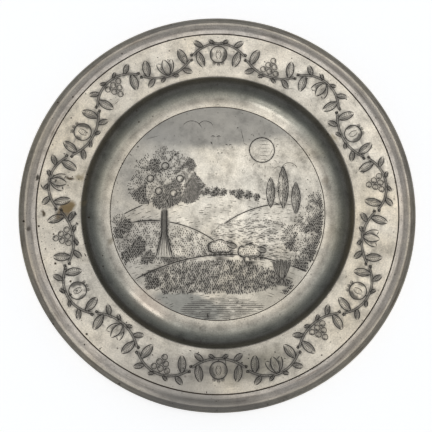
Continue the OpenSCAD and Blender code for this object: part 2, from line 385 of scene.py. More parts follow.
class Pen:
    """Draws in a place of its own on the metal: points are turned and moved before they are cut.

    Lines are hidden where a shape that was drawn before stands in front, and outside the field."""

    def __init__(self, cuts, matrix=None, masks=None, field=None):
        self.cuts = cuts
        self.matrix = np.eye(3) if matrix is None else matrix
        self.masks = [] if masks is None else masks
        self.field = field

    def at(self, x, y, turn=0.0, mirror=False):
        c, s = math.cos(turn), math.sin(turn)
        m = np.array([[c, -s, x], [s, c, y], [0, 0, 1.0]])
        if mirror:
            m = m @ np.diag([-1.0, 1.0, 1.0])
        return Pen(self.cuts, self.matrix @ m, self.masks, self.field)

    def behind(self, outlines):
        """The same pen, with more outlines to keep behind."""
        return Pen(self.cuts, self.matrix, self.masks + outlines, self.field)

    def place(self, points):
        points = np.asarray(points, float)
        return points @ self.matrix[:2, :2].T + self.matrix[:2, 2]

    def visible(self, placed):
        seen = np.ones(len(placed), bool)
        if self.field:
            seen &= np.hypot(*placed.T) < self.field
        for mask in self.masks:
            seen &= ~inside(placed, mask)
        return seen

    def hide(self, outline):
        self.masks.append(self.place(outline))

    def lens(self, length, width, cut, steps=8):
        for side in lens_sides(length, width, steps):
            self.line(side, *cut)

    def shade(self, x, y, r, insets, start, end, steps):
        """Fine arcs inside a round, one within the other."""
        for inset in insets:
            self.line(circle(x, y, r - inset, start, end, steps), *FINE)

    def dab(self, points, width, depth):
        """A short stroke that is left out where any of it is hidden."""
        placed = self.place(points)
        if self.visible(placed).all():
            self.cuts.stroke(placed, width, depth)

    def line(self, points, width, depth, hidden=True):
        placed = self.place(points)
        if not hidden:
            self.cuts.stroke(placed, width, depth)
            return
        straight = len(placed) == 2
        fine = resample(placed, 0.7)
        seen = self.visible(fine)
        start = None
        for i in range(len(fine) + 1):
            if i < len(fine) and seen[i]:
                start = i if start is None else start
                continue
            if start is not None and i - start >= 2:
                run = fine[start:i]
                if straight:
                    run = run[[0, -1]]
                elif len(run) > 3:
                    keep = np.unique(np.linspace(0, len(run) - 1, max(3, (len(run) + 3) // 3)).astype(int))
                    run = run[keep]
                if np.linalg.norm(run[-1] - run[0]) > 0.25 or len(run) > 3:
                    self.cuts.stroke(run, width, depth)
            start = None


def inside(points, outline):
    """Which points lie inside a closed outline."""
    x, y = points[:, 0], points[:, 1]
    low, high = outline.min(0), outline.max(0)
    found = np.zeros(len(points), bool)
    near = (x >= low[0]) & (x <= high[0]) & (y >= low[1]) & (y <= high[1])
    if not near.any():
        return found
    x, y = x[near][:, None], y[near][:, None]
    x0, y0 = outline[:, 0], outline[:, 1]
    x1, y1 = np.roll(x0, -1), np.roll(y0, -1)
    span = np.where(y1 == y0, 1e-12, y1 - y0)
    crosses = ((y0 > y) != (y1 > y)) & (x < (x1 - x0) * (y - y0) / span + x0)
    found[near] = crosses.sum(1) % 2 == 1
    return found


def resample(points, step):
    """The same line with a point about every step."""
    lengths = np.linalg.norm(np.diff(points, axis=0), axis=1)
    total = np.concatenate([[0], np.cumsum(lengths)])
    n = max(2, int(math.ceil(total[-1] / step)) + 1)
    places = np.linspace(0, total[-1], n)
    return np.stack([np.interp(places, total, points[:, 0]), np.interp(places, total, points[:, 1])], 1)


def circle(x, y, r, start=0.0, end=2 * math.pi, steps=24):
    return arc((x, y), r, start, end, steps)


def lens_sides(length, width, steps=8):
    """Left and right side of a pointed leaf that lies along +y from the origin."""
    r = (length**2 + width**2) / (4 * width)
    half = math.asin(length / 2 / r)
    left = arc((r - width / 2, length / 2), r, math.pi + half, math.pi - half, steps)
    right = arc((width / 2 - r, length / 2), r, -half, half, steps)
    return left, right


def lens(length, width, steps=8):
    left, right = lens_sides(length, width, steps)
    return left + right[::-1][1:-1]


# Widths and depths of the graver's strokes: outlines, ribs and fine hatching
BOLD = (0.78, 0.34)
PLAIN = (0.54, 0.27)
FINE = (0.42, 0.22)
DARK = (1.15, 0.36)
# How far fine strokes keep from the middle of a bold one
VEIN_GAP = 0.4


def leaf(pen, length, width, veins=7):
    pen.lens(length, width, BOLD)
    pen.line([(0, length * 0.06), (0, length * 0.86)], *PLAIN)
    r = (length**2 + width**2) / (4 * width)
    for i in range(veins):
        for side, more in ((1, 2), (-1, 1)):
            for j in range(more):
                y = length * (0.1 + 0.74 * (i + j / more) / veins)
                top = min(y + width * 0.26, length * 0.93)
                out = math.sqrt(max(0, r**2 - (top - length / 2) ** 2)) - (r - width / 2) - VEIN_GAP
                if out > VEIN_GAP + 0.3:
                    pen.line([(side * VEIN_GAP, y), (side * out, top)], *FINE)


def pomegranate(pen, r):
    pen.line(circle(0, -r, r), *BOLD)
    pen.shade(0, -r, r, (0.9, 1.7, 2.5), -1.25, 0.75, 9)
    pen.shade(0, -r, r, (0.9, 1.8), math.pi - 0.5, math.pi + 0.7, 6)
    split = pen.at(0, -r * 1.62)
    split.lens(r * 1.25, r * 0.62, PLAIN, 6)
    for i in range(5):
        y = r * (0.22 + 0.2 * i)
        for x in ((-0.1, 0.1) if i % 2 else (0,)):
            split.line([(r * x - 0.3, y), (r * x + 0.3, y + 0.1)], *BOLD)
    for turn in (-0.44, 0, 0.44):
        sepal = pen.at(0, -r).at(0, 0, math.pi + turn).at(0, r * 0.96)
        sepal.lens(r * 0.55, r * 0.34, PLAIN, 4)
        sepal.line([(0, r * 0.06), (0, r * 0.4)], *FINE)


def grapes(pen, r):
    pitch = 2 * r + GRAPE_GAP
    for row in range(3):
        for i in range(3 - row):
            x = (i - (2 - row) / 2) * pitch
            y = -r - row * pitch * math.sin(math.pi / 3)
            pen.line(circle(x, y, r, steps=12), *PLAIN)
            pen.shade(x, y, r, (0.7, 1.3), -1.5, 0.7, 4)


def tulip(pen, length, width):
    """Three petals: the two at the back are hidden where the front one covers them."""

    def petal(pen, turn, ribs, low, high):
        p = pen.at(0, 0, math.pi + turn).at(0, -length * 0.15)
        p.lens(length, width, BOLD)
        for x in ribs:
            p.line([(x * width, length * low), (x * width * 0.8, length * high)], *FINE)
        return p

    front = petal(pen, 0, (-0.22, -0.07, 0.07, 0.22), 0.2, 0.78)
    back = pen.behind([front.place(lens(length, width))])
    for turn in (-1, 1):
        petal(back, turn * math.radians(32), (-0.25, -0.12, 0.02, 0.15, 0.27), 0.25, 0.76)


def tendril(pen, size):
    """A curl that starts along +y and winds in to the right."""
    points = []
    for t in np.linspace(0, 1, 12):
        a = math.pi - t * 2.8 * math.pi
        r = size * (1 - 0.8 * t)
        points.append((size + r * math.cos(a), r * math.sin(a)))
    pen.line(points, *PLAIN)


# The vine on the band, as in the solids
BAY_L = 42
WAVE_H = 10.4
STEM_GAP = 2
FRUIT_R = 7.2
STALK_L = 2.2
LEAF = (15, 6.4)
LEAFLET = (10, 4.3)
GRAPE_R = 2.5
GRAPE_GAP = 0.6
STEM_W = 1.6
BAYS = 2 * int(math.pi * BAND_MID_R / BAY_L)
BAY_ANGLE = 2 * math.pi / BAYS
BAY_END = (BAND_MID_R * math.sin(BAY_ANGLE / 2), BAND_MID_R * (math.cos(BAY_ANGLE / 2) - 1))


# Scratches and dents that the band and the well have got in use: both ends and a width
BAND_MARKS = (
    (-147, 21.8, -144.3, 16.2, 1), (-118.2, -0.8, -117.4, -5.6, 0.9), (-117.6, -9.6, -115.2, -13, 1.1),
    (-118.4, -12.2, -114.6, -10.8, 0.7), (-117.8, -27.4, -115, -30, 0.7), (-115.6, -27.6, -117, -30.4, 0.5),
    (-110.2, -35.5, -108.2, -39, 0.9), (-9.4, -147, -10, -149.2, 0.9), (32, -121, 33.4, -126, 0.6),
    (33.4, -126, 32.6, -132.5, 0.5), (5.2, -116, 6.2, -130, 0.5), (119, 31, 123.5, 33.5, 0.5),
    (58, 104, 66, 103, 0.4), (-88, 88, -82, 93.5, 0.4),
)
WELL_MARKS = (
    (-8.6, -84, -8.3, -89.4, 1.1), (-75.5, 50, -72.6, 47.6, 0.7), (-6.5, 60.8, -4.4, 57.8, 1),
    (19, 74, 23, 56, 0.4), (47, 55, 43.5, 48, 0.4), (-62, 62, -48, 66, 0.35),
)


def pit(cuts, rng, r, a, least, more, power):
    """A pit of random size. The power says how rare the big ones are."""
    cuts.pit(r * math.cos(a), r * math.sin(a), least + more * rng.random() ** power, PIT_DEPTH)


def scratch(cuts, marks):
    for x0, y0, x1, y1, w in marks:
        cuts.stroke([(x0, y0), (x1, y1)], w, SCRATCH_DEPTH)


def bay(pen, kind, end_y):
    """One half wave of the vine with what grows on it. x runs along the rim, y towards its outer edge."""
    sagitta = WAVE_H - end_y
    r = (BAY_END[0] ** 2 + sagitta**2) / (2 * sagitta)
    full = math.asin(BAY_END[0] / r)
    half = full - math.asin(STEM_GAP / 2 / r)
    middle = (0, WAVE_H - r)

    def on_vine(p, share, turn):
        return p.at(*middle, -share * full).at(0, r, turn)

    for side in (-1, 1):
        p = pen.at(0, 0, mirror=side < 0)
        leaf(on_vine(p, 0.72, math.radians(200)), *LEAF)
        leaf(on_vine(p, 0.5, math.radians(-30)), *LEAFLET, veins=5)
        leaf(on_vine(p, 0.12, math.radians(-52)), 6.4, 2.8, veins=3)
        tendril(on_vine(p, 0.88, math.radians(30)), 1.9)
    for edge in (-1, 1):
        pen.line(circle(*middle, r + edge * STEM_W / 2, QUARTER - half, QUARTER + half, 24), *PLAIN)
    ticks = int(2 * half * r / 1.3)
    for i in range(ticks):
        a = QUARTER - half + 2 * half * (i + 0.5) / ticks
        b = a + 0.9 / r
        low, high = r - STEM_W * 0.27, r + STEM_W * 0.27
        tick = [(q * math.cos(at), middle[1] + q * math.sin(at)) for q, at in ((low, a), (high, b))]
        pen.line(tick, *FINE)
    for x in (-0.35, 0.35):
        pen.line([(x, WAVE_H - STEM_W / 2), (x, WAVE_H - STALK_L - 0.3)], *PLAIN)
    grow, *sizes = ((pomegranate, FRUIT_R), (grapes, GRAPE_R), (tulip, *LEAF))[kind]
    grow(pen.at(0, WAVE_H - STALK_L), *sizes)


def band_cuts():
    cuts = Cuts()
    for i in range(BAYS):
        flip = -1 if i % 2 else 1
        c, s = math.cos(QUARTER - i * BAY_ANGLE), math.sin(QUARTER - i * BAY_ANGLE)
        m = np.array([[s, flip * c, BAND_MID_R * c], [-c, flip * s, BAND_MID_R * s], [0, 0, 1.0]])
        bay(Pen(cuts, m), i % 3, BAY_END[1] * flip)
    scratch(cuts, BAND_MARKS)
    rng = random.Random(3)
    for _ in range(340):
        r, a = rng.uniform(WELL_EDGE_R + 2.5, RIM_LINE_R - 2.5), rng.uniform(0, 2 * math.pi)
        if rng.random() < 0.42 - 0.3 * math.cos(a):
            pit(cuts, rng, r, a, 0.22, 0.55, 2)
    return cuts


# The picture in the well, as shares of its radius, from its middle: the same hills, tree, sheep, sheaf,
# cypresses and sun as the solids have. Hills, crowns and bushes are x, y and radius.
HILLS = ((0.1, -2.15, 1.75), (-0.62, -1.08, 1), (0.62, -0.84, 0.92), (-0.05, -1.5, 1.7))
CROWN = (
    (-0.5, 0.2, 0.17), (-0.7, 0.24, 0.16), (-0.3, 0.24, 0.16),
    (-0.66, 0.42, 0.13), (-0.34, 0.42, 0.13), (-0.5, 0.42, 0.2),
)
TRUNK = ((-0.58, -0.42), (-0.53, -0.2), (-0.53, 0.06), (-0.48, 0.06), (-0.48, -0.2), (-0.43, -0.42))
FRUITS = ((-0.5, 0.44), (-0.64, 0.32), (-0.36, 0.32), (-0.56, 0.2), (-0.42, 0.18))
TREE_FRUIT_R = 0.035
SUN = (0.42, 0.6, 0.12)
CYPRESSES = ((0.5, 0.04, 0.3, 0.08), (0.62, 0.03, 0.42, 0.1), (0.74, -0.02, 0.32, 0.085))
SHEEP = ((0.02, -0.42), (0.3, -0.46))
FLEECE = ((-0.06, 0.09, 0.05), (0, 0.1, 0.06), (0.06, 0.09, 0.05))
WOOL_BUMPS = 11
HEAD = (0.06, 0.12, 0.11, 0.05, math.radians(-105))
LEGS = (-0.06, 0.045)
LEG_W = 0.015
LEG_H = 0.06
SHEAF = (0.6, -0.62, 0.26, 0.045)
SHEAF_ANGLE = math.radians(14)
SHEAF_FOOT_SHARE = 0.3
# What only the graver's finer work adds to them
NEAR_BUSHES = ((-0.8, -0.32, 0.12), (-0.68, -0.42, 0.08), (-0.93, -0.14, 0.12), (-0.9, -0.4, 0.1))
EDGE_BUSHES = (
    (0.75, -0.49, 0.11), (0.86, -0.33, 0.14), (0.9, -0.1, 0.17), (0.72, -0.24, 0.13), (0.95, 0.1, 0.11),
)
FAR_TREES = (
    (-0.12, 0.2, 0.04), (-0.04, 0.2, 0.055), (0.05, 0.195, 0.04), (0.13, 0.19, 0.03),
    (0.2, 0.18, 0.05), (0.28, 0.17, 0.045), (0.37, 0.15, 0.035),
)
LAKE = (
    (-0.1, -0.34), (-0.06, -0.2), (0.02, -0.125), (0.12, -0.09), (0.3, -0.075), (0.46, -0.08),
    (0.6, -0.1), (0.72, -0.16), (0.76, -0.3), (0.7, -0.48), (-0.02, -0.44),
)
POND = (0.06, -0.93, 0.42, 0.13)
GRASS = ((-0.72, -0.6), (-0.3, -0.47), (0.2, -0.46), (0.55, -0.56), (0.7, -0.68), (0.3, -0.78), (-0.5, -0.78))
GRASS_BUSHES = ((-0.62, -0.66, 0.07), (0.66, -0.72, 0.06))
SLOPE = ((-0.99, -0.5), (-0.99, -0.1), (-0.6, -0.08), (-0.2, -0.2), (0.05, -0.4), (-0.3, -0.5))
BIRDS = ((-0.02, 0.72, 0.05), (0.1, 0.64, 0.04), (0.02, 0.56, 0.035))
CLOUDS = ((-0.25, 0.78, 0.1), (-0.12, 0.8, 0.08), (0.68, 0.4, 0.08), (0.58, 0.38, 0.06))


def share(points):
    return np.array(points, float) * PICTURE_R


def disc(x, y, r):
    return np.array(circle(x * PICTURE_R, y * PICTURE_R, r * PICTURE_R, steps=40))


def scatter(rng, outlines, spacing, jitter=0.35):
    """Places spread evenly inside any of the outlines, a little out of line."""
    low = np.min([o.min(0) for o in outlines], axis=0)
    high = np.max([o.max(0) for o in outlines], axis=0)
    places = []
    y, row = low[1], 0
    while y < high[1]:
        x = low[0] + spacing / 2 * (row % 2)
        while x < high[0]:
            dx, dy = rng.uniform(-jitter, jitter), rng.uniform(-jitter, jitter)
            places.append((x + dx * spacing, y + dy * spacing))
            x += spacing
        y += spacing * 0.87
        row += 1
    places = np.array(places)
    found = np.zeros(len(places), bool)
    for outline in outlines:
        found |= inside(places, outline)
    return places[found]


def bushy(x, y, r):
    """Uneven outline of a leafy round."""
    turns = np.linspace(0, 2 * math.pi, 44, endpoint=False)
    swell = 1 + 0.06 * np.sin(5 * turns + 40 * x) + 0.05 * np.sin(8 * turns + 30 * y)
    swell += 0.04 * np.sin(13 * turns)
    return np.stack([x + r * swell * np.cos(turns), y + r * swell * np.sin(turns)], 1) * PICTURE_R


def foliage(pen, rng, rounds, spacing=1.6, light=0.2, size=1.8):
    """Bushy rounds, the nearest first: leaf-shaped dabs that spread outwards, fewer where the light falls."""
    for x, y, r in rounds:
        edge = bushy(x, y, r)
        for px, py in scatter(rng, [edge], spacing, 0.2):
            shade = (0.7 * (px / PICTURE_R - x) - 0.7 * (py / PICTURE_R - y)) / r
            if shade < -0.2 and rng.random() < light:
                continue
            width, depth = DARK if shade > -0.15 else BOLD
            turn = math.atan2(py - y * PICTURE_R, px - x * PICTURE_R) + rng.uniform(-0.6, 0.6)
            half = size / 2 * rng.uniform(0.8, 1.2)
            dx, dy, bend = half * math.cos(turn), half * math.sin(turn), rng.uniform(-0.3, 0.3)
            pen.dab([(px - dx, py - dy), (px - dy * bend, py + dx * bend), (px + dx, py + dy)], width, depth)
        pen.hide(edge)


def blades(pen, rng, outline, spacing, length, cut, chance=1.0):
    """Grass: short upright strokes that lean a little to either side."""
    for x, y in scatter(rng, [outline], spacing, 0.22):
        if rng.random() > chance:
            continue
        tall = length * rng.uniform(0.6, 1.3)
        tip = rng.uniform(-0.25, 0.25) * tall
        pen.dab([(x, y), (x + tip * 0.3, y + tall * 0.55), (x + tip, y + tall)], *cut)


def sheep(pen, rng, foot):
    """A sheep with a hatched head, curls of wool in three rounds, legs and a shadow on the ground."""
    p = pen.at(*share(foot))
    head = p.at(*share(HEAD[:2]), HEAD[4])
    length, width = HEAD[2] * PICTURE_R, HEAD[3] * PICTURE_R
    head.lens(length, width, BOLD)
    for i in range(7):
        y = length * (0.3 + 0.09 * i)
        head.line([(-width * 0.32, y), (width * 0.3, y + 0.4)], *PLAIN)
    head.at(-width * 0.2, length * 0.4, 1.9).lens(2.6, 1.2, PLAIN, 4)
    head.hide(lens(length, width))
    for x, y, r in FLEECE:
        edge = []
        for i in range(WOOL_BUMPS * 5 + 1):
            a = 2 * math.pi * i / (WOOL_BUMPS * 5)
            swell = 1 + 0.1 * abs(math.sin(a * WOOL_BUMPS / 2))
            edge.append((x + r * swell * math.cos(a), y + r * swell * math.sin(a)))
        others = [p.place(disc(*o[:2], o[2] * 0.93)) for o in FLEECE if o != (x, y, r)]
        p.behind(others).line(share(edge), *BOLD)
    for px, py in scatter(rng, [disc(*r) for r in FLEECE], 1.9, 0.2):
        turn = rng.uniform(3.6, 5.6)
        p.dab(circle(px, py, 0.6, turn - 1.7, turn + 1.7, 3), *(PLAIN if py < 0.085 * PICTURE_R else FINE))
    for r in FLEECE:
        p.hide(disc(*r))
    for x in LEGS:
        for shift in (0, 0.055):
            left = share([(x + shift, 0), (x + shift, LEG_H)])
            leg_w = LEG_W * PICTURE_R
            p.line(left, *BOLD)
            p.line(left + [leg_w, 0], *BOLD)
            p.line(left + [leg_w / 2, 0], *FINE)
    for i in range(5):
        y = -0.4 - 0.55 * i
        p.line([(-7 + i * 0.8, y), (9 - i * 1.1, y)], *FINE)


def sheaf(pen):
    """Ears fanned out from a tie, the middle one in front."""
    x, y, length, width = SHEAF[0], SHEAF[1], SHEAF[2] * PICTURE_R, SHEAF[3] * PICTURE_R
    base = pen.at(x * PICTURE_R, y * PICTURE_R)
    for turn in (0, -1, 1, -2, 2):
        ear = base.at(0, 0, turn * SHEAF_ANGLE).at(0, -length * SHEAF_FOOT_SHARE)
        ear.lens(length, width, PLAIN)
        for i in range(11):
            t = length * (0.44 + 0.048 * i)
            for s in (-1, 1):
                ear.line([(0, t), (s * width * 0.36, t + 0.9)], *PLAIN)
        ear.line([(0, length * 0.1), (0, length * 0.97)], *FINE)
        ear.hide(lens(length, width))
    for t in (-0.5, 0.5):
        base.line([(-2.6, t), (0, t - 0.5), (2.6, t)], *BOLD, hidden=False)


def tree(pen, rng):
    """Fruits before the leaves, then a barked trunk and its shadow."""
    for x, y in FRUITS:
        r = TREE_FRUIT_R * PICTURE_R
        c = pen.at(x * PICTURE_R, y * PICTURE_R)
        c.line(circle(0, 0, r), *BOLD)
        c.shade(0, 0, r, (0.9, 1.6, 2.3), -1.5, 0.5, 6)
        c.hide(circle(0, 0, r + 0.4))
    foliage(pen, rng, CROWN, light=0.3)
    trunk = share(TRUNK)
    pen.line(trunk[:3], *BOLD)
    pen.line(trunk[3:], *BOLD)
    for i in range(5):
        t = (i + 0.7) / 5.4
        foot, middle, top = (trunk[k] + (trunk[5 - k] - trunk[k]) * t for k in range(3))
        bark = [foot, (foot + middle) / 2 + [rng.uniform(-0.3, 0.3), 0], middle, top]
        pen.line(bark, *(PLAIN if i > 2 else FINE))
    pen.hide(trunk)
    for i in range(9):
        y = (-0.425 - 0.008 * i) * PICTURE_R
        pen.line([(-0.56 * PICTURE_R + i, y), ((-0.3 + 0.01 * i) * PICTURE_R, y - 0.8)], *FINE)


def cypress(pen, rng, x, y, length, width):
    p = pen.at(x * PICTURE_R, y * PICTURE_R)
    length, width = length * PICTURE_R, width * PICTURE_R
    outline = np.array(lens(length, width))
    p.lens(length, width, PLAIN)
    for px, py in scatter(rng, [outline], 1.4, 0.25):
        if px < -width * 0.15 and rng.random() < 0.45:
            continue
        lean = px / width * 0.8 + rng.uniform(-0.15, 0.15)
        p.dab([(px, py - 1.1), (px + lean * 0.6, py), (px + lean * 0.5, py + 1.3)], *PLAIN)
    p.hide(outline)


def hill_edge(pen, hill):
    """A hill's outline. What is drawn later is hidden behind the hill."""
    pen.line(circle(*share(hill), 0, math.pi, 160), *BOLD)
    pen.hide(disc(*hill))


def hill_strokes(pen, rng, hill, step, length, low, chance):
    """Broken strokes along a hill's slope, one below the other."""
    x, y, r = share(hill)
    at = step * 0.8
    while at < low * PICTURE_R:
        a = 0.25
        while a < math.pi - 0.25:
            run = length * rng.uniform(0.5, 1.5) / (r - at)
            if rng.random() < chance and abs(x + (r - at) * math.cos(a)) < PICTURE_R:
                pen.line(circle(x, y, r - at, a, a + run, 5), *FINE)
            a += run * rng.uniform(1.3, 2.2)
        at += step * rng.uniform(0.8, 1.2)


def water(pen, rng, shore):
    """Short level strokes with a slight wave, and tufts of reed along the shore."""
    for x, y in scatter(rng, [shore], 2.0):
        if rng.random() > 0.8:
            continue
        half = 3.2 * rng.uniform(0.35, 0.65)
        wave = rng.choice((-1, 1)) * 0.22
        pen.dab([(x - half, y - wave), (x, y + wave), (x + half, y)], *PLAIN)
    for x, y in resample(shore[1:-2], 1.4):
        tuft = [(x, y - 0.5), (x + rng.uniform(-0.3, 0.3), y + 0.4), (x + rng.uniform(-0.8, 0.8), y + 1.4)]
        pen.dab(tuft, *PLAIN)
    pen.hide(shore)


def pond(pen, rng):
    """Rows of long level strokes in an oval."""
    mid_x, mid_y, wide, high = POND
    for i in range(15):
        y = mid_y + high * (1 - 2 * (i + 0.5) / 15)
        half = wide * math.sqrt(max(0.05, 1 - ((y - mid_y) / high) ** 2))
        x = mid_x - half
        while x < mid_x + half:
            end = min(x + rng.uniform(0.12, 0.4), mid_x + half)
            pen.line(share([(x, y), ((x + end) / 2, y + 0.002), (end, y)]), *FINE)
            x = end + rng.uniform(0.01, 0.04)
    turns = np.linspace(0, 2 * math.pi, 48)
    pen.hide(share([(mid_x + wide * math.cos(a), mid_y + high * math.sin(a)) for a in turns]))


def sky(pen):
    """The sun with its lines and rays, and birds and clouds of a few strokes."""
    x, y, r = SUN
    pen.line(disc(*SUN), *BOLD)
    for t in (-0.75, -0.45, -0.15, 0.15, 0.45, 0.75):
        half = r * math.sqrt(1 - t * t) * 0.82
        pen.line(share([(x - half * (0.2 + 0.6 * abs(t)), y - r * t), (x + half, y - r * t)]), *FINE)
    for i in range(18):
        a = 2 * math.pi * i / 18
        ray = [(x + r * q * math.cos(a), y + r * q * math.sin(a)) for q in (1.2, 1.42 if i % 2 else 1.6)]
        pen.line(share(ray), *FINE)
    for x, y, w in BIRDS:
        for side in (-1, 1):
            wing = [(x, y), (x + side * w * 0.5, y + w * 0.42), (x + side * w, y + w * 0.1)]
            pen.line(share(wing), *PLAIN)
    for x, y, r in CLOUDS:
        pen.line(share(circle(x, y, r, 0.3, 2.7, 10)), *FINE)


def picture_cuts():
    """Draws the country view from front to back, so that what is nearer hides what is behind it."""
    rng = random.Random(7)
    cuts = Cuts()
    pen = Pen(cuts, field=MEDALLION_R - WELL_LINE_W / 2 - 0.35)
    for foot in SHEEP:
        sheep(pen, rng, foot)
    sheaf(pen)
    pond(pen, rng)
    blades(pen, rng, share(GRASS), 1.85, 2.4, (0.9, 0.32))
    hill_strokes(pen, rng, HILLS[0], 2.0, 5, 0.6, 0.45)
    foliage(pen, rng, GRASS_BUSHES)
    hill_edge(pen, HILLS[0])
    tree(pen, rng)
    foliage(pen, rng, NEAR_BUSHES)
    blades(pen, rng, share(SLOPE), 2.0, 1.8, BOLD, 0.85)
    hill_strokes(pen, rng, HILLS[1], 1.9, 4.5, 0.5, 0.6)
    hill_edge(pen, HILLS[1])
    foliage(pen, rng, EDGE_BUSHES)
    for c in CYPRESSES:
        cypress(pen, rng, *c)
    water(pen, rng, share(LAKE))
    hill_strokes(pen, rng, HILLS[2], 1.7, 5, 0.5, 0.7)
    hill_edge(pen, HILLS[2])
    foliage(pen, rng, FAR_TREES, spacing=1.3, size=1.5)
    hill_strokes(pen, rng, HILLS[3], 2.0, 5, 0.35, 0.5)
    hill_edge(pen, HILLS[3])
    sky(pen)
    scratch(cuts, WELL_MARKS)
    for _ in range(60):
        r, a = (MEDALLION_R - 3) * math.sqrt(rng.random()), rng.uniform(0, 2 * math.pi)
        pit(cuts, rng, r, a, 0.2, 0.4, 3)
    return cuts


def add_object(data):
    """Puts a mesh, a lamp or a camera into the scene, under its own name."""
    made = bpy.data.objects.new(data.name, data)
    bpy.context.scene.collection.objects.link(made)
    return made


def make_mesh(name, points, faces, smooth_angle=None):
    mesh = bpy.data.meshes.new(name)
    mesh.from_pydata([tuple(p) for p in (np.asarray(points) * MM)], [], [tuple(f) for f in faces])
    mesh.validate()
    mesh.update()
    if smooth_angle is not None:
        mesh.shade_smooth()
        mesh.set_sharp_from_angle(angle=smooth_angle)
    return add_object(mesh)


def read(items, name, width, kind=float):
    """Rows of numbers from all of a mesh's points, corners or faces."""
    values = np.empty(len(items) * width, kind)
    items.foreach_get(name, values)
    return values.reshape(-1, width)


def unwrap(piece, runs, is_under, top, under, far=0.0):
    """Lays the piece out flat for its textures as two round sheets, the top and the underside.

    runs holds each point's distance from the top sheet's middle. top and under are a sheet's middle and
    scale, and far is the run at the middle of the underside, where that sheet is rolled out from."""
    mesh = piece.data
    corners = read(mesh.loops, "vertex_index", 1, np.int32)[:, 0]
    counts = read(mesh.polygons, "loop_total", 1, np.int32)[:, 0]
    places = read(mesh.vertices, "co", 3)[corners]
    starts = np.concatenate([[0], np.cumsum(counts)[:-1]])
    highest = np.maximum.reduceat(runs[corners], starts)
    below = np.repeat(is_under(highest, read(mesh.polygons, "normal", 3)), counts)
    turn = np.arctan2(places[:, 1], places[:, 0])
    run = np.where(below & (far > 0), far - runs[corners], runs[corners])
    scale = np.where(below, under[2], top[2])
    u = np.where(below, under[0], top[0]) + run * scale * np.cos(turn)
    v = np.where(below, under[1], top[1]) + run * scale * np.sin(turn)
    sheet = mesh.uv_layers.new(name="OFBake")
    sheet.data.foreach_set("uv", np.stack([u, v], 1).ravel().astype(np.float32))


def unwrap_thin(piece):
    """Lays a filling out flat: its top and its hidden underside, side by side."""
    runs = np.hypot(*read(piece.data.vertices, "co", 3)[:, :2].T) / MM
    sheets = [(*middle, r / runs.max()) for *middle, r in FILLING_SHEETS]
    unwrap(piece, runs, lambda _, normals: normals[:, 2] < 0, *sheets)


def grid_points(inner, outer, spacing, keep_off):
    """Loose points that keep a field's triangles small, in staggered rings."""
    points = []
    r = inner + keep_off
    row = 0
    while r < outer - keep_off:
        n = max(6, int(2 * math.pi * r / spacing))
        for i in range(n):
            a = 2 * math.pi * (i + 0.5 * (row % 2)) / n
            points.append((r * math.cos(a), r * math.sin(a)))
        r += spacing
        row += 1
    return points


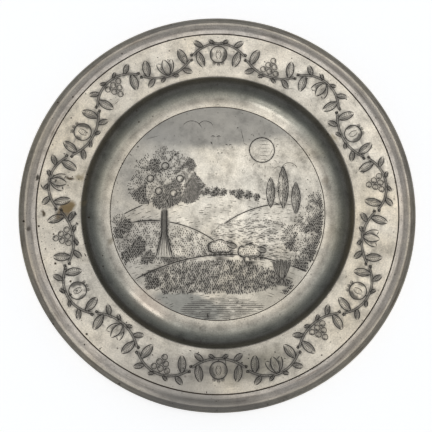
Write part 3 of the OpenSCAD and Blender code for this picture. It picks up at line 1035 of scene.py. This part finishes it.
def build_plate(picture, band):
    """The whole casting as one closed mesh: revolved sections between two carved fields."""
    # Each point is a row of x, y, z, how deep it is cut, its grime, and its run
    points, faces = [], []
    # The section so far, as radius, height, and the way over the metal from the middle of the well
    path = [(0.0, FLOOR_T, 0.0)]

    def ring(r, z):
        """Adds a ring of points and gives the first one's index."""
        run = path[-1][2] + math.hypot(r - path[-1][0], z - path[-1][1])
        path.append((r, z, run))
        points.extend((x, y, z, 0.0, 0.0, run) for x, y in round_points(r))
        return len(points) - SEGMENTS

    def join(a, b):
        faces.extend((a + i, a + j, b + j, b + i) for i, j in steps_round(SEGMENTS))

    def skin(last, section):
        """Carries the surface on from the last ring, through a ring for each point of the section."""
        for r, z in section:
            new = ring(r, z)
            join(last, new)
            last = new
        return last

    def field(cuts, rings, loose, close, surface):
        """Adds a carved field and gives the first index of each of its round edges, the inner one first."""
        where, triangles, depth, crowd, source = carve(cuts, rings, loose, close)
        middle = where[triangles].mean(1)
        far = np.hypot(*middle.T)
        low = rings[1] if len(rings) > 1 else 0
        limit = math.cos(math.pi / SEGMENTS)
        kept = triangles[(far < rings[0]) & (far > low * limit)]
        rim = {}
        for new, olds in enumerate(source):
            for old in olds:
                if old < len(rings) * SEGMENTS:
                    rim[old] = new
        edges = []
        index = np.full(len(where), -1)
        for k in range(len(rings) - 1, -1, -1):
            edges.append(ring(rings[k], surface(rings[k])))
            for i in range(SEGMENTS):
                index[rim[k * SEGMENTS + i]] = edges[-1] + i
        for v in np.unique(kept):
            if index[v] < 0:
                index[v] = len(points)
                x, y = where[v]
                r = math.hypot(x, y)
                points.append((x, y, surface(r) - depth[v], depth[v], crowd[v], path[-1][2] + r - rings[0]))
        faces.extend(map(tuple, index[kept]))
        return edges

    wall = well_wall()
    loose = grid_points(0, wall[0][0], 9, 4)
    close = grid_points(0, wall[0][0], 2, 1)
    last = field(picture, [wall[0][0]], loose, close, floor_z)[0]
    last = skin(last, wall[1:-1])
    lip_r = wall[-1][0]
    line = groove(RIM_LINE_R, RIM_LINE_W, band_z(RIM_LINE_R), LINE_DEPTH, math.tan(BAND_SLOPE))
    loose = grid_points(lip_r, line[0][0], 5, 2)
    inner, outer = field(band, [line[0][0], lip_r], loose, (), band_z)
    join(last, inner)
    last = skin(outer, line[1:] + moulding())
    top_run = path[-1][2]
    last = skin(last, underside())
    points.append((0, 0, 0, 0, 0, path[-1][2] + path[-1][0]))
    faces.extend((last + i, last + j, len(points) - 1) for i, j in steps_round(SEGMENTS))
    points = np.array(points)
    places, (cut, grime, runs) = points[:, :3], points[:, 3:].T
    places[:, 2] += warp(*places[:, :2].T)
    places[:, :2] *= knock(*places[:, :2].T)[:, None]
    piece = make_mesh("pewter_plate", places, faces, PLATE_SHARP)
    sheets = [(*middle, r / run) for (*middle, r), run in zip(PLATE_SHEETS, (top_run, runs[-1] - top_run))]
    unwrap(piece, runs, lambda highest, _: highest > top_run + 1e-3, *sheets, runs[-1])
    for name, values in (("cut", cut), ("grime", grime)):
        attribute = piece.data.attributes.new(name, "FLOAT", "POINT")
        attribute.data.foreach_set("value", values.astype(np.float32))
    return piece


def build_filling(name, cuts, surface, ring_r):
    """The dark filling of a carved field: a thin closed body in each stroke, just below the metal."""
    where, triangles, depth, _, _ = carve(cuts, [ring_r], narrow=FILL_DROP)
    middle = where[triangles].mean(1)
    kept = triangles[(depth[triangles].mean(1) > 1e-4) & (np.hypot(*middle.T) < ring_r)]
    base = surface(np.hypot(*where.T)) + warp(*where.T) - FILL_DROP
    points, top, bottom = [], {}, {}
    for v in np.unique(kept):
        top[v] = bottom[v] = len(points)
        points.append((*where[v], base[v]))
        if depth[v] > 1e-4:
            bottom[v] = len(points)
            points.append((*where[v], base[v] - depth[v] * 0.97))
    faces = [tuple(top[v] for v in t) for t in kept]
    faces += [tuple(bottom[v] for v in t[::-1]) for t in kept]
    piece = make_mesh(name, points, faces)
    unwrap_thin(piece)
    return piece


def build_line_filling(name, r, w, z, slope=0.0):
    """The dark filling of a turned line: a ring with the groove's round bottom and a slightly hollow top."""
    half, z = w * LINE_FILL_W / 2, z - LINE_FILL_DROP
    section = groove(r, 2 * half, z, LINE_DEPTH * LINE_FILL_DEPTH, slope)
    for s in (0.6, 0.2, -0.2, -0.6):
        section.append((r + half * s, z + slope * half * s - LINE_FILL_HOLLOW * (1 - s * s)))
    points = np.array([(x * math.cos(a), x * math.sin(a), y) for a in TURNS for x, y in section])
    points[:, 2] += warp(*points[:, :2].T)
    n = len(section)
    faces = []
    for i, j in steps_round(SEGMENTS):
        faces.extend((i * n + k, i * n + m, j * n + m, j * n + k) for k, m in steps_round(n))
    piece = make_mesh(name, points, faces, LINE_SHARP)
    unwrap_thin(piece)
    return piece


class Nodes:
    """The node tree of a material or of the world, with short calls to add to it."""

    def __init__(self, owner):
        owner.use_nodes = True
        self.owner = owner
        self.tree = owner.node_tree
        self.place = self.node("ShaderNodeTexCoord").outputs["Object"]

    def finish(self, inputs):
        """Sets the shader's inputs by name and gives the material."""
        shader = self.tree.nodes["Principled BSDF"]
        for name, value in inputs.items():
            self.give(shader.inputs[name], value)
        return self.owner

    def node(self, kind, links=None, **settings):
        made = self.tree.nodes.new(kind)
        for key, value in settings.items():
            setattr(made, key, value)
        for socket, value in (links or {}).items():
            self.give(made.inputs[socket], value)
        return made

    def give(self, socket, value):
        if isinstance(value, bpy.types.NodeSocket):
            self.tree.links.new(value, socket)
        else:
            socket.default_value = value

    def noise(self, scale, detail=2.0, roughness=0.5, distortion=0.0, vector=None, output="Fac"):
        values = {"Scale": scale, "Detail": detail, "Roughness": roughness, "Distortion": distortion}
        made = self.node("ShaderNodeTexNoise", {"Vector": vector or self.place, **values})
        return made.outputs[output]

    def vector(self, operation, a, b=(0, 0, 0)):
        """A sum with vectors. For SCALE, b is a number."""
        second = "Scale" if operation == "SCALE" else 1
        made = self.node("ShaderNodeVectorMath", {0: a, second: b}, operation=operation)
        return made.outputs["Value" if operation == "LENGTH" else "Vector"]

    def split(self, vector):
        return self.node("ShaderNodeSeparateXYZ", {0: vector}).outputs

    def ramp(self, value, stops):
        made = self.node("ShaderNodeValToRGB", {"Fac": value})
        ramp = made.color_ramp
        while len(ramp.elements) < len(stops):
            ramp.elements.new(0.5)
        for element, (place, colour) in zip(ramp.elements, stops):
            element.position = place
            if isinstance(colour, (int, float)):
                colour = (colour, colour, colour)
            element.color = (*colour, 1)
        return made.outputs["Color"]

    def by_radius(self, r, stops):
        """A ramp over the distance from the axis, with its stops in millimetres."""
        return self.ramp(self.math("DIVIDE", r, 0.17), [(stop / 170, value) for stop, value in stops])

    def math(self, operation, a, b=0.0, clamp=False):
        made = self.node("ShaderNodeMath", {0: a, 1: b}, operation=operation, use_clamp=clamp)
        return made.outputs[0]

    def soft_step(self, value, start, end, height=1.0):
        """0 up to start, then smoothly up or down the scale to height at end."""
        made = self.node("ShaderNodeMapRange", {"Value": value}, interpolation_type="SMOOTHSTEP")
        for socket, number in (("From Min", start), ("From Max", end), ("To Min", 0.0), ("To Max", height)):
            made.inputs[socket].default_value = number
        return made.outputs["Result"]

    def patch(self, vector, x, y, half_l, half_w, turn, soft, amount):
        """A soft-edged oval on the metal: amount inside it and 0 outside. Millimetres and degrees."""
        places = {"Location": (x * MM, y * MM, 0), "Rotation": (0, 0, math.radians(turn))}
        sizes = {"Scale": (half_l * MM, half_w * MM, 1)}
        spot = self.node("ShaderNodeMapping", {"Vector": vector, **places, **sizes}, vector_type="TEXTURE")
        return self.soft_step(self.vector("LENGTH", spot.outputs[0]), 1 + soft, 1 - soft, amount)

    def spots(self, vector, scale, size):
        """Scattered round spots, one to a cell and each of its own size."""
        cells = self.node("ShaderNodeTexVoronoi", {"Vector": vector, "Scale": scale}, voronoi_dimensions="2D")
        share = self.node("ShaderNodeSeparateColor", {0: cells.outputs["Color"]}).outputs[0]
        reach = self.math("MULTIPLY", self.math("POWER", share, 2.2), size * scale)
        return self.soft_step(self.math("DIVIDE", cells.outputs["Distance"], reach), 1.1, 0.6)

    def mix(self, factor, a, b, blend="MIX"):
        made = self.node("ShaderNodeMix", data_type="RGBA", blend_type=blend)
        for socket, value in ((made.inputs[0], factor), (made.inputs[6], a), (made.inputs[7], b)):
            self.give(socket, (*value, 1) if isinstance(value, tuple) and len(value) == 3 else value)
        return made.outputs[2]

    def tinted(self, colour, share):
        return self.mix(1.0, colour, share, "MULTIPLY")


# The colours of clean metal, of pits, of grime between close strokes, and of a cut's bottom
PEWTER = (0.64, 0.59, 0.5)
PIT = (0.07, 0.055, 0.04)
GRIME = (0.16, 0.15, 0.135)
CUT = (0.05, 0.043, 0.036)
# Two places at the wall's foot that hands have rubbed smooth: x, y and turn in degrees
RUBBED = ((47, 87, -30), (-60, -79, -38))
# Painted reflection and shade: how the metal's tone changes from the middle outwards, darker on the well's
# curved wall and at the outer edge, lighter on the crest. Radius in millimetres and red, green, blue shares
PAINTED_REFLECTION_TONES = (
    (0, (0.93, 0.93, 0.93)), (89.5, (0.93, 0.93, 0.93)), (91.5, (0.98, 0.97, 0.96)),
    (96, (0.92, 0.91, 0.9)), (98.5, (0.83, 0.84, 0.84)), (101, (0.81, 0.84, 0.83)),
    (103.2, (0.7, 0.73, 0.72)), (105, (0.48, 0.51, 0.51)), (107, (0.31, 0.33, 0.33)),
    (109, (0.26, 0.27, 0.28)), (111, (0.28, 0.29, 0.29)), (112.6, (0.38, 0.39, 0.39)),
    (114, (0.75, 0.74, 0.73)), (116, (0.88, 0.87, 0.86)), (120, (0.89, 0.88, 0.87)),
    (130, (1.0, 0.99, 0.98)), (142, (1.12, 1.1, 1.08)), (149.4, (1.12, 1.1, 1.08)),
    (150.6, (0.93, 0.92, 0.95)), (154, (0.97, 0.95, 0.98)), (157, (1.24, 1.2, 1.22)),
    (159, (0.9, 0.88, 0.86)), (160.5, (0.6, 0.58, 0.57)), (162.3, (0.53, 0.52, 0.51)),
    (163.6, (0.46, 0.46, 0.45)), (164.4, (0.66, 0.66, 0.66)), (165, (0.95, 0.95, 0.95)),
)
# Tarnish and stains, and on the rim also darker patches towards the bottom: x, y, half length, half width,
# turn in degrees, softness, colour and amount
WELL_STAINS = (
    (4, 100, 105, 44, 5, 0.1, (0.262, 0.25, 0.226), 0.88),
    (-62, 46, 36, 27, 20, 0.5, (0.3, 0.29, 0.27), 0.55),
    (-26, -80, 31, 12, -12, 0.2, (0.235, 0.235, 0.215), 0.8),
    (52, -62, 26, 15, 35, 0.6, (0.36, 0.33, 0.27), 0.5),
    (-70, -20, 26, 40, 0, 0.7, (0.34, 0.32, 0.29), 0.5),
)
RIM_STAINS_AND_DARK_PATCHES = (
    # The first five darken the rim towards the bottom
    (5, -128, 44, 13, 0, 0.7, (0.17, 0.16, 0.14), 0.72),
    (36, -124, 28, 10, 18, 0.6, (0.2, 0.185, 0.14), 0.5),
    (-45, -130, 38, 13, -22, 0.8, (0.3, 0.28, 0.25), 0.5),
    (-12, -157, 62, 7, -3, 0.8, (0.2, 0.19, 0.18), 0.6),
    (-38, -146, 50, 9, -15, 0.8, (0.3, 0.28, 0.25), 0.55),
    (-126.6, -0.4, 10.5, 5, 48, 0.3, (0.17, 0.115, 0.05), 0.92),
    (-120.4, -4.8, 2.4, 1.6, 30, 0.4, (0.03, 0.022, 0.015), 0.9),
    (-114.8, 27, 4.2, 2.6, 10, 0.6, (0.22, 0.18, 0.11), 0.8),
    (-122.7, 25.8, 3, 1.3, -20, 0.5, (0.05, 0.035, 0.02), 0.9),
    (-135, 23.4, 1.2, 1.0, 0, 0.4, (0.05, 0.04, 0.03), 0.9),
    (-144, -3, 1.6, 2.5, 20, 0.4, (0.07, 0.05, 0.03), 0.92),
    (-149.6, 27, 2.6, 1.6, 80, 0.4, (0.03, 0.025, 0.02), 0.9),
    (-155.4, -15.7, 1.6, 1.9, 0, 0.5, (0.12, 0.1, 0.08), 0.8),
    (-112, 6.5, 3.4, 1.6, 60, 0.6, (0.3, 0.26, 0.18), 0.6),
    (-90, -25, 3.4, 2.2, 60, 0.6, (0.2, 0.17, 0.12), 0.7),
    (-57, -76, 16, 6, -38, 0.8, (0.5, 0.4, 0.33), 0.5),
    (-40, 155, 30, 4, 15, 0.6, (0.34, 0.32, 0.3), 0.35),
    (92, 28, 4, 2.4, 70, 0.5, (0.25, 0.21, 0.16), 0.5),
    (97, 62, 3.6, 2, -45, 0.6, (0.26, 0.22, 0.15), 0.6),
)


def pewter():
    """Aged pewter: warm grey metal with painted reflection and shade by radius, tarnish, stains, darker
    patches towards the bottom of the rim, pits, fine turning marks and dark cuts.
    """
    n = Nodes(bpy.data.materials.new("pewter"))
    x, y, _ = n.split(n.place)
    flat = n.node("ShaderNodeCombineXYZ", {0: x, 1: y}).outputs[0]
    r = n.vector("LENGTH", flat)
    across, along, _ = n.split(n.vector("SCALE", n.vector("NORMALIZE", flat), 5.0))
    ringed = n.node("ShaderNodeCombineXYZ", {0: across, 1: along, 2: n.math("MULTIPLY", r, 620.0)}).outputs[0]
    streaks = n.noise(1, 4, 0.6, vector=ringed)
    mottle = n.noise(75, 6, 0.68)
    clouds = n.noise(14, 3, 0.55, 0.6)
    grain = n.noise(900, 2)

    # The tone by radius is painted reflection and shade: darker on the well's curved wall and the outer edge,
    # lighter on the crest
    colour = n.tinted(n.by_radius(r, PAINTED_REFLECTION_TONES), PEWTER)
    tint = n.ramp(clouds, [(0.3, (0.93, 0.95, 0.98)), (0.5, (1, 1, 1)), (0.72, (1.06, 1.03, 0.97))])
    colour = n.tinted(colour, tint)
    colour = n.tinted(colour, n.ramp(mottle, [(0.28, 0.68), (0.45, 0.95), (0.7, 1.14)]))
    colour = n.tinted(colour, n.ramp(grain, [(0.3, 0.86), (0.7, 1.12)]))
    moulded = n.by_radius(r, [(150.4, 0.25), (151.5, 1.0)])
    worn = n.ramp(streaks, [(0.3, (0.62, 0.58, 0.55)), (0.48, (1, 1, 1)), (0.75, (1.1, 1.09, 1.07))])
    colour = n.mix(moulded, colour, n.tinted(colour, worn))
    shift = n.vector("SUBTRACT", n.noise(160.0, 4.0, vector=flat, output="Color"), (0.5, 0.5, 0.5))
    ragged = n.vector("ADD", flat, n.vector("SCALE", shift, 0.006))
    in_well = n.soft_step(r, (MEDALLION_R + 0.5) * MM, (MEDALLION_R - 0.5) * MM)
    # Tarnish and stains in the well; on the rim, stains and darker patches towards the bottom
    for stains, where in ((WELL_STAINS, in_well), (RIM_STAINS_AND_DARK_PATCHES, 1.0)):
        for *oval, patch_colour, amount in stains:
            share_in = n.math("MULTIPLY", n.patch(ragged, *oval, amount), where)
            colour = n.mix(share_in, colour, patch_colour)
    left = n.soft_step(x, -0.02, -0.13, 0.6)
    specks = n.math("MULTIPLY", n.spots(flat, 75, 0.0011), n.math("ADD", left, 0.4))
    specks = n.math("MAXIMUM", specks, n.math("MULTIPLY", n.spots(flat, 190, 0.00042), 0.6))
    colour = n.mix(specks, colour, PIT)
    cut = n.node("ShaderNodeAttribute", attribute_name="cut").outputs["Fac"]
    grime = n.node("ShaderNodeAttribute", attribute_name="grime").outputs["Fac"]
    dirty = n.ramp(grime, [(0.34, 0.0), (0.85, 0.78)])
    colour = n.mix(dirty, colour, GRIME)
    dark = n.math("MULTIPLY", cut, 16.0, clamp=True)
    colour = n.mix(dark, colour, CUT)
    soft_foot = n.by_radius(r, [(93, 0.0), (97.5, 0.16), (101, 0.12), (106, 0.0)])
    rubbed = 0.0
    for at_x, at_y, turn in RUBBED:
        rubbed = n.math("MAXIMUM", n.patch(flat, at_x, at_y, 22, 9, turn, 0.7, 1.0), rubbed)
    soft_foot = n.math("MULTIPLY", soft_foot, n.math("SUBTRACT", 1.0, rubbed))
    rough = n.ramp(mottle, [(0.3, 0.4), (0.5, 0.33), (0.75, 0.29)])
    rough = n.math("ADD", n.math("SUBTRACT", rough, n.math("MULTIPLY", rubbed, 0.05)), soft_foot)
    height = n.noise(55, 3, 0.5)
    for layer, amount in ((streaks, 0.06), (grain, 0.03), (specks, -0.6)):
        height = n.math("ADD", height, n.math("MULTIPLY", layer, amount))
    bump = n.node("ShaderNodeBump", {"Height": height, "Strength": 1.0, "Distance": 0.00012})
    return n.finish({"Base Color": colour, "Metallic": 1.0, "Roughness": rough, "Normal": bump.outputs[0]})


def filling(name, colour):
    n = Nodes(bpy.data.materials.new(name))
    tone = n.ramp(n.noise(160, 3), [(0.3, colour), (0.75, tuple(c * 1.9 for c in colour))])
    return n.finish({"Base Color": tone, "Roughness": 0.7})


def set_camera():
    """The photograph's camera: almost straight above, a little towards the bottom left of the picture."""
    azimuth, elevation = CAMERA_ANGLES
    low = math.cos(elevation)
    back = Vector((math.sin(azimuth) * low, -math.cos(azimuth) * low, math.sin(elevation)))
    right = Vector((0, 1, 0)).cross(back).normalized()
    turn = Matrix((right, back.cross(right), back)).transposed()
    data = bpy.data.cameras.new("camera")
    data.sensor_width = SENSOR_W
    data.lens = LENS
    data.shift_x, data.shift_y = SHIFT
    data.clip_end = 50
    camera = add_object(data)
    camera.matrix_world = Matrix.Translation(CAMERA_TARGET + back * CAMERA_DISTANCE) @ turn.to_4x4()
    bpy.context.scene.camera = camera


def set_light():
    """Soft round lamps that shine at the dish's middle, and a studio that is lightest at the horizon."""
    for name, (place, size, watts) in LAMPS.items():
        data = bpy.data.lights.new(name, "AREA")
        data.shape = "DISK"
        data.size = size
        data.energy = watts
        lamp = add_object(data)
        lamp.location = place
        lamp.rotation_euler = (-Vector(place)).to_track_quat("-Z", "Y").to_euler()
    bpy.context.scene.world = bpy.data.worlds.new("studio")
    n = Nodes(bpy.context.scene.world)
    height = n.split(n.node("ShaderNodeTexCoord").outputs["Generated"])["Z"]
    sky = n.ramp(height, [(place, (value * 0.96, value, value * 1.05)) for place, value in STUDIO])
    n.give(n.tree.nodes["Background"].inputs["Color"], sky)


def set_floor():
    """A plain white floor that keeps the dish's shadow. From below, it lets the underside show."""
    corners = [(x * FLOOR_HALF, y * FLOOR_HALF, -FLOOR_GAP) for x, y in ((-1, -1), (1, -1), (1, 1), (-1, 1))]
    floor = make_mesh("floor", corners, [(0, 1, 2, 3)])
    n = Nodes(bpy.data.materials.new("floor"))
    path = n.node("ShaderNodeLightPath").outputs
    shown = n.math("MAXIMUM", path["Is Camera Ray"], path["Is Glossy Ray"])
    shown = n.math("MULTIPLY", n.math("MAXIMUM", shown, path["Is Transmission Ray"]), FLOOR_GLOW)
    glow = {"Emission Color": (1, 1, 1, 1), "Emission Strength": shown}
    white = n.finish({"Base Color": (0.85, 0.85, 0.85, 1), "Roughness": 0.9, **glow})
    below = n.node("ShaderNodeNewGeometry").outputs["Backfacing"]
    clear = n.node("ShaderNodeBsdfTransparent").outputs[0]
    shader = n.tree.nodes["Principled BSDF"].outputs[0]
    both = n.node("ShaderNodeMixShader", {0: below, 1: shader, 2: clear}).outputs[0]
    n.give(n.tree.nodes["Material Output"].inputs["Surface"], both)
    floor.data.materials.append(white)


def make_dish():
    """Each piece with its material, the node of the solids that it stands for, and its slot."""
    band, picture = band_cuts(), picture_cuts()
    wax = filling("engraving_filling", (0.03, 0.025, 0.02)), "engraving_fill"
    oxide = filling("line_filling", (0.045, 0.03, 0.018)), "line_fill"
    band_edge, picture_edge = RIM_LINE_R - RIM_LINE_W / 2, MEDALLION_R - WELL_LINE_W / 2
    rim_line = (RIM_LINE_R, RIM_LINE_W, band_z(RIM_LINE_R), math.tan(BAND_SLOPE))
    for node, piece, (material, slot) in (
        ("plate", build_plate(picture, band), (pewter(), "pewter")),
        ("band_ornament_fill", build_filling("band_filling", band, band_z, band_edge), wax),
        ("medallion_ornament_fill", build_filling("picture_filling", picture, floor_z, picture_edge), wax),
        ("rim_line_fill", build_line_filling("rim_line_filling", *rim_line), oxide),
        ("well_line_fill", build_line_filling("well_line_filling", MEDALLION_R, WELL_LINE_W, FLOOR_T), oxide),
    ):
        piece.data.materials.append(material)
        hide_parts(node)
        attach(piece, "root")


bpy.context.scene.view_settings.view_transform = "Standard"
set_camera()
make_dish()
set_floor()
set_light()
bpy.context.view_layer.update()
